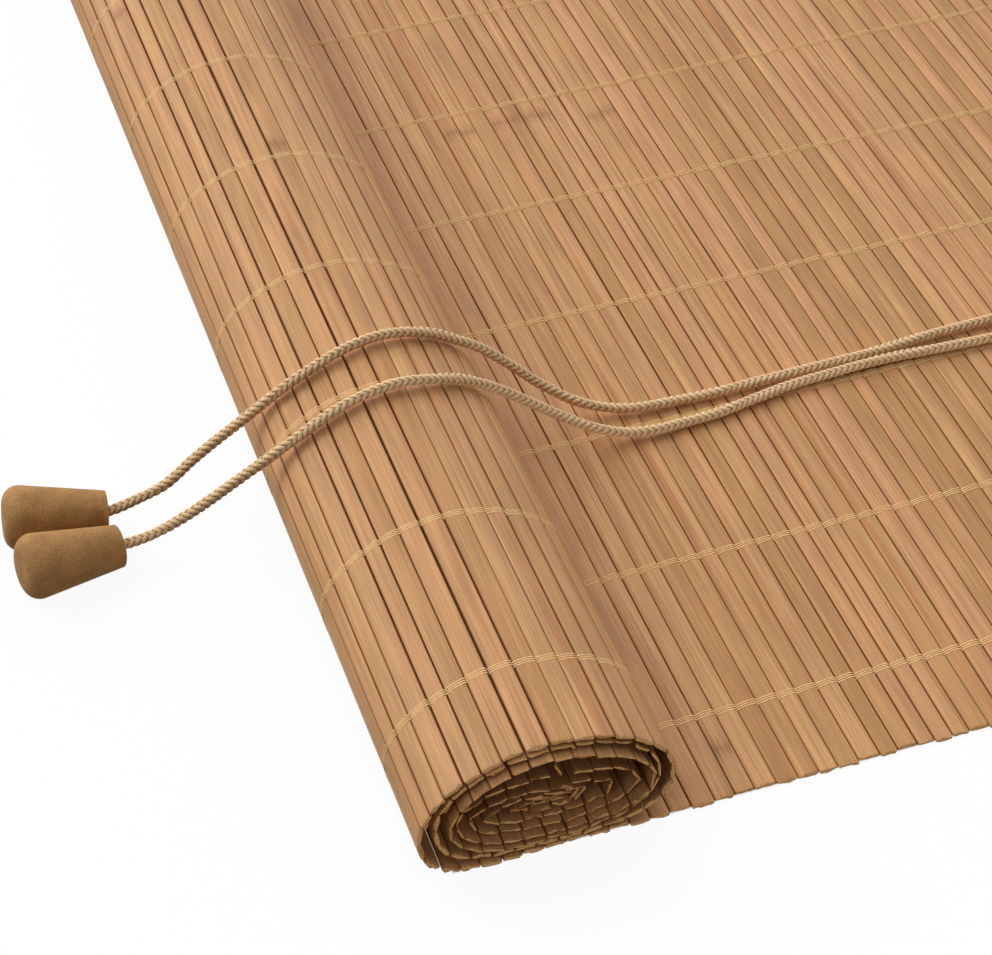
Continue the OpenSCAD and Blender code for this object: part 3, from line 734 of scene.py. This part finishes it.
# %% Geometry Nodes for the slats
TOOTH_MM, END_NEAR, BOW_SCALE, BOWS_APART = 1.1, 0.1, 5.0, 500.0
WARMTH_SEED, SHIFT_SEED = 100.0, 200.0
tree, asked = new_layout("lay_out_slats", {"Slat": "Object", "End Shift": "Float", "Bow": "Float",
                                           "End Rough": "Float"})
slat_tree = tree
warmth_seed, shift_seed = [add(tree, MATH, (asked["Seed"], more), operation="ADD")
                           for more in (WARMTH_SEED, SHIFT_SEED)]
kept = asked["Geometry"]
for name, seed in (("slat_pick", asked["Seed"]), ("slat_warmth", warmth_seed)):
    number = add(tree, "FunctionNodeRandomValue", {"Seed": seed}, data_type="FLOAT")
    kept = add(tree, "GeometryNodeStoreNamedAttribute",
               {"Geometry": kept, "Name": name, "Value": number.outputs[1]}, data_type="FLOAT",
               domain="POINT")
own, tilt, thick = [add(tree, "GeometryNodeInputNamedAttribute", {"Name": name}, data_type="FLOAT")
                    for name in ("slat_pick", "tilt", "thick")]
real = set_out(tree, kept, asked["Slat"], thick, shift_seed, asked["End Shift"])
where = add(tree, "GeometryNodeInputPosition")
lengthways = add(tree, SEPARATE, (where,))
drift_place = add(tree, COMBINE, {"Y": lengthways.outputs["Y"]})
drift_seed = add(tree, MATH, (own, BOWS_APART), operation="MULTIPLY")
drift = add(tree, NOISE,
            {"Vector": drift_place, "W": drift_seed, "Scale": BOW_SCALE, "Detail": 1.0},
            noise_dimensions="4D")
drift = add(tree, MATH, (drift, 0.5), operation="SUBTRACT")
drift = add(tree, MATH, (drift, asked["Bow"]), operation="MULTIPLY")
level = add(tree, MATH, (tilt,), operation="COSINE")
rise = add(tree, MATH, (tilt,), operation="SINE")
fall = add(tree, MATH, (rise, -1.0), operation="MULTIPLY")
across = add(tree, COMBINE, {"X": level, "Z": fall})
bow = add(tree, VECTORS, {0: across, "Scale": drift}, operation="SCALE")
bowed = add(tree, "GeometryNodeSetPosition", {"Geometry": real, "Offset": bow})
own_place = add(tree, "GeometryNodeInputNamedAttribute", {"Name": "slat_place"}, data_type="FLOAT_VECTOR")
own_place = add(tree, SEPARATE, (own_place,))
from_middle = add(tree, MATH, (own_place.outputs["Y"],), operation="ABSOLUTE")
at_end = add(tree, "FunctionNodeCompare",
             {"A": from_middle, "B": (half_w - END_NEAR) * MM}, data_type="FLOAT", operation="GREATER_THAN")
tooth = add(tree, NOISE, {"Vector": where, "Scale": 1 / TOOTH_MM / MM})
tooth = add(tree, MATH, (tooth, 0.5), operation="SUBTRACT")
tooth = add(tree, MATH, (tooth, asked["End Rough"]), operation="MULTIPLY")
tooth = add(tree, COMBINE, {"Y": tooth})
torn = add(tree, "GeometryNodeSetPosition", {"Geometry": bowed, "Selection": at_end, "Offset": tooth})
finished = add(tree, "GeometryNodeSetMaterial", {"Geometry": torn, "Material": asked["Finish"]})
add(tree, "NodeGroupOutput", (finished,))
print("slat tree has", len(tree.nodes), "nodes")

# %% [markdown]
# Bamboo joints come about every 250 to 400 mm along a cane, and strips from one cane often lie side by side,
# so the rings come in groups. Most strips of this blind show none. The groups below choose the strips, and
# the place along them in millimetres from the middle of the blind. The inner slats are thinner than the outer
# ones, so that the dark gaps between the roll's turns show.

# %% Lay out the slats
NO_JOINT = 9.0
GROUPS = ((12, 23, 55.0), (9, 10, -282.0), (34, 50, 205.0), (44, 57, -120.0))
IN_GROUP, ON_ROLL, GROUP_SPREAD, ROLL_SPREAD = 0.75, 0.16, 3.0, 280
OUTER_THICK, INNER_THICK, THIN_FROM = 1.1, 0.58, 500
flat_joints = np.full(FLAT_SLATS, NO_JOINT)
rolled_joints = np.full(len(rolled_points), NO_JOINT)
for first, last, at in GROUPS:
    for i in range(first, last):
        if draw.random() < IN_GROUP:
            flat_joints[i] = (at + draw.normal(0, GROUP_SPREAD)) * MM
for i in range(ROLLED_SLATS):
    if draw.random() < ON_ROLL:
        rolled_joints[i] = draw.uniform(-ROLL_SPREAD, ROLL_SPREAD) * MM
flat_thick = [1.0] * FLAT_SLATS
rolled_thick = [OUTER_THICK if a < THIN_FROM else INNER_THICK for a in roll_angles[:-1]]
rolled_thick += [INNER_THICK] * len(CORE_SLATS)
FLAT_LOOSE = {"End Shift": 1.5 * MM, "Bow": 0.6 * MM, "End Rough": 2.5 * MM, "Seed": 3}
ROLLED_LOOSE = {"End Shift": 0.9 * MM, "Bow": 0.3 * MM, "End Rough": 3.5 * MM, "Seed": 11}
for name, node, points, thick, joints, loose in (
        ("flat_slats", "flat_mat", flat_points, flat_thick, flat_joints, FLAT_LOOSE),
        ("rolled_slats", "rolled_mat", rolled_points, rolled_thick, rolled_joints, ROLLED_LOOSE)):
    piece = from_points(name, slat_tree, scene_points([p[:3] for p in points]),
                        {"tilt": [p[3] for p in points], "stretch": [p[4] / SLAT_W for p in points],
                         "thick": thick, "joint_at": joints},
                        {"Slat": slat, "Finish": bamboo, **loose})
    hand_over(piece, node)
bpy.data.objects.remove(slat)

# %% [markdown]
# Each row of stitches is three fine threads that cross a slat side by side, dip into the gap and come up a
# little further back on the next slat. The thread is spun and golden, a little glossy, with paler flecks
# where its twist turns up. One crossing is drawn and repeated on every slat that shows.

# %% Thread finish and one stitch
# The twist itself is too fine to show, so the flecks are this far apart
TWIST_MM = 1.111
thread, tree = new_material("spun_thread")
coord = add(tree, COORDS)
twist = add(tree, NOISE, {"Vector": coord.outputs["Object"], "Scale": 1 / TWIST_MM / MM, "Detail": 2.0})
golden = add(tree, RAMP, (twist,), ((0.3, "#F4C07A"), (0.7, "#FFDEA2")))
spun = add(tree, PRINCIPLED,
           {"Base Color": golden, "Roughness": 0.6, "Specular IOR Level": 0.35})
add(tree, TO_MATERIAL, {"Surface": spun})

THREAD_WIDE, THREAD_FLAT, THREAD_APART, THREAD_SIDES = 0.24, 0.11, 0.88, 6
# Along the slat, a thread starts this far back, runs forward, and bends back again
BACK, RUN, BEND = -0.6, 1.9, -1.2
crossing = [(-0.52, 0.3), (-0.47, 0.58), (-0.38, 0.78), (0.0, 0.86),
            (0.38, 0.78), (0.47, 0.58), (0.52, 0.3)]
vertices, faces = [], []
for strand in (-1, 0, 1):
    faces += tube_faces(len(vertices), len(crossing), THREAD_SIDES, flip=True)
    for x, z in crossing:
        s = x + 0.5
        y = strand * THREAD_APART + BACK + RUN * s + BEND * s * s
        for k in range(THREAD_SIDES):
            turn = 2 * math.pi * k / THREAD_SIDES
            vertices.append((x * SLAT_PITCH, y + THREAD_WIDE * math.cos(turn),
                             z + THREAD_FLAT * math.sin(turn)))
stitch = new_mesh_object("one_stitch", np.array(vertices) * MM, faces, smooth=True)
print("stitch:", len(stitch.data.polygons), "faces")

# %% [markdown]
# The rows are sewn by a small tree of the same kind. Nine rows run along the flat stretch up to the batten,
# and over the outer turn of the roll, where the mat shows its other face. Runs that no one sees are left out.

# %% Sew the rows
STITCH_ROWS, STITCH_MARGIN, BATTEN_START = 9, 33.2, 397.0
WANDER, FIRST_SEED = 0.4 * MM, 20
SEEN_FROM, SEEN_TO, CLEAR = 40, 330, 2
stitch_tree, asked = new_layout("sew_row", {"Stitch": "Object", "Wander": "Float"})
real = set_out(stitch_tree, asked["Geometry"], asked["Stitch"], 1.0, asked["Seed"], asked["Wander"])
finished = add(stitch_tree, "GeometryNodeSetMaterial", {"Geometry": real, "Material": asked["Finish"]})
add(stitch_tree, "NodeGroupOutput", (finished,))
row_pitch = (BLIND_W - 2 * STITCH_MARGIN) / (STITCH_ROWS - 1)
front = [p for p in flat_points if p[0] < BATTEN_START - CLEAR]
outer = [p for p, angle in zip(rolled_points, roll_angles) if SEEN_FROM < angle < SEEN_TO]
for row in range(STITCH_ROWS):
    y = (row - (STITCH_ROWS - 1) / 2) * row_pitch
    places = [(p[0], y, p[2]) for p in front] + [(p[0], y + p[1], p[2]) for p in outer]
    tilts = [p[3] for p in front] + [p[3] + math.pi for p in outer]
    stretches = [(p[4] + SLAT_GAP) / SLAT_PITCH for p in front + outer]
    piece = from_points(f"stitching_{row + 1}", stitch_tree, scene_points(places),
                        {"tilt": tilts, "stretch": stretches},
                        {"Stitch": stitch, "Wander": WANDER, "Seed": FIRST_SEED + row, "Finish": thread})
    hand_over(piece, f"stitch_row_{row + 1}")
bpy.data.objects.remove(stitch)

# %% [markdown]
# The pulls are turned from a dull brown wood and left unpolished. The eye sees a fine speckle, like that of
# cork, over slow patches of lighter and darker brown, and no gloss.

# %% Pull finish
SPECK_MM, PATCH_MM = 0.4167, 6.25
turned_wood, tree = new_material("turned_dull_wood")
coord = add(tree, COORDS)
speck = add(tree, NOISE,
            {"Vector": coord.outputs["Object"], "Scale": 1 / SPECK_MM / MM, "Detail": 3.0, "Roughness": 0.7})
patch = add(tree, NOISE, {"Vector": coord.outputs["Object"], "Scale": 1 / PATCH_MM / MM, "Detail": 2.0})
brown = add(tree, RAMP, (speck,), ((0.3, "#8E602E"), (0.72, "#CEA068")))
shade = add(tree, RANGE, (patch, 0.3, 0.7, 0.86, 1.1))
mixed = add(tree, MIX, {0: 1.0, 6: brown, 7: shade}, data_type="RGBA", blend_type="MULTIPLY")
bump = add(tree, BUMP, {"Strength": 0.3, "Distance": 0.2 * MM, "Height": speck})
wood = add(tree, PRINCIPLED,
           {"Base Color": mixed.outputs[2], "Roughness": 0.75, "Specular IOR Level": 0.25, "Normal": bump})
add(tree, TO_MATERIAL, {"Surface": wood})

# %% [markdown]
# A turned piece is an outline spun round its axis. The outline has the hole for the cord, the small end with
# a broken edge, the long taper and the plain, well rounded big end. The cord's end is glued into the hole.

# %% Turn the pulls
PULL_ROUND, BORE_R, EDGE = 5.5, CORD_D / 2 + 0.05, 0.35
BORE_EDGE, TIP_R, CORD_EXIT_Z = 0.3, 0.5, 13.6
TURN_STEPS, SHARP = 72, math.radians(50)


def arc(centre_r, centre_z, radius, start, end, steps):
    """Points of an outline's arc, as radius and height, between two angles in degrees."""
    angles = np.radians(np.linspace(start, end, steps))
    return [(centre_r + radius * math.cos(a), centre_z + radius * math.sin(a)) for a in angles]


def spin(name, outline, side):
    """Spins an outline of radius and height round a pull's axis, and closes its two ends."""
    place = (Matrix.Translation(pull_start(side)) @ Matrix.Rotation(PULL_TURN[side], 4, "Z")
             @ Matrix.Rotation(math.pi / 2 - taper, 4, "Y"))
    turns = [2 * math.pi * step / TURN_STEPS for step in range(TURN_STEPS)]
    vertices = [place @ Vector((r * math.cos(a), r * math.sin(a), z)) for r, z in outline for a in turns]
    faces = tube_faces(0, len(outline), TURN_STEPS)
    return new_mesh_object(name, scene_points([tuple(v) for v in vertices]), faces, smooth=True)


round_r = PULL_SMALL_R + (PULL_LEN - PULL_ROUND) * math.tan(taper) - PULL_ROUND / math.cos(taper)
degrees = math.degrees(taper)
outline = ([(TIP_R, BORE_LEN), (BORE_R, BORE_LEN), (BORE_R, BORE_EDGE), (BORE_R + BORE_EDGE, 0.0)]
           + arc(PULL_SMALL_R - EDGE, EDGE, EDGE, -90, -degrees, 5)
           + arc(round_r, PULL_LEN - PULL_ROUND, PULL_ROUND, -degrees, 90, 12)
           + [(TIP_R, PULL_LEN)])
for side in ("near", "far"):
    pull = spin(f"wooden_pull_{side}", outline, side)
    pull.data.set_sharp_from_angle(angle=SHARP)
    pull.data.materials.append(turned_wood)
    hand_over(pull, f"pull_{side}")
    points, length = cord_runs[side]
    print(pull.name, len(pull.data.polygons), "faces")

# %% [markdown]
# At the head a planed pine batten carries two zinc plated hangers and the cord pulley. Their solids already
# have the right shape, so they only get their finishes. Planed pine shows long pale grain and a satin face:
# its noise is drawn out along the batten.

# %% Batten finish
YEAR_RING_MM, RING_DRAWN_OUT = 3.846, 25
pine, tree = new_material("planed_pine")
coord = add(tree, COORDS)
long_place = add(tree, "ShaderNodeMapping",
                 {"Vector": coord.outputs["Object"], "Scale": (1.0, 1 / RING_DRAWN_OUT, 1.0)})
year = add(tree, NOISE, {"Vector": long_place, "Scale": 1 / YEAR_RING_MM / MM, "Detail": 4.0})
warm_pine = add(tree, RAMP, (year,), ((0.35, "#B98A56"), (0.62, "#D6B081")))
bump = add(tree, BUMP, {"Strength": 0.2, "Distance": 0.2 * MM, "Height": year})
planed = add(tree, PRINCIPLED,
             {"Base Color": warm_pine, "Roughness": 0.55, "Specular IOR Level": 0.3, "Normal": bump})
add(tree, TO_MATERIAL, {"Surface": planed})

# %% [markdown]
# Zinc plated steel is a grey metal with a dull crystal bloom, which changes both its grey and its gloss.
# Moulded nylon is cream, half matt, with a faint unevenness where it flowed into its mould.

# %% Metal and nylon finishes
BLOOM_MM, FLOW_MM = 2.5, 3.333
zinc, tree = new_material("zinc_plated_steel")
coord = add(tree, COORDS)
bloom = add(tree, NOISE, {"Vector": coord.outputs["Object"], "Scale": 1 / BLOOM_MM / MM, "Detail": 3.0})
dull = add(tree, RANGE, (bloom, 0.3, 0.7, 0.3, 0.5))
grey = add(tree, RAMP, (bloom,), ((0.0, "#9EA2A4"), (1.0, "#CBCDCC")))
plated = add(tree, PRINCIPLED, {"Base Color": grey, "Metallic": 1.0, "Roughness": dull})
add(tree, TO_MATERIAL, {"Surface": plated})

nylon, tree = new_material("moulded_nylon")
coord = add(tree, COORDS)
flow = add(tree, NOISE, {"Vector": coord.outputs["Object"], "Scale": 1 / FLOW_MM / MM, "Detail": 2.0})
cream = add(tree, RAMP, (flow,), ((0.0, "#D8D3C4"), (1.0, "#ECE8DC")))
moulded = add(tree, PRINCIPLED, {"Base Color": cream, "Roughness": 0.4})
add(tree, TO_MATERIAL, {"Surface": moulded})

for material, nodes in ((pine, ["head_batten"]), (nylon, ["sheave_near", "sheave_far"]),
                        (zinc, ["hanger_near", "hanger_far", "screws", "pulley_bracket", "pulley_axle"])):
    for node in nodes:
        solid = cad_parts[node]
        solid.data.materials.clear()
        solid.data.materials.append(material)
print("finishes set on the head's solids")
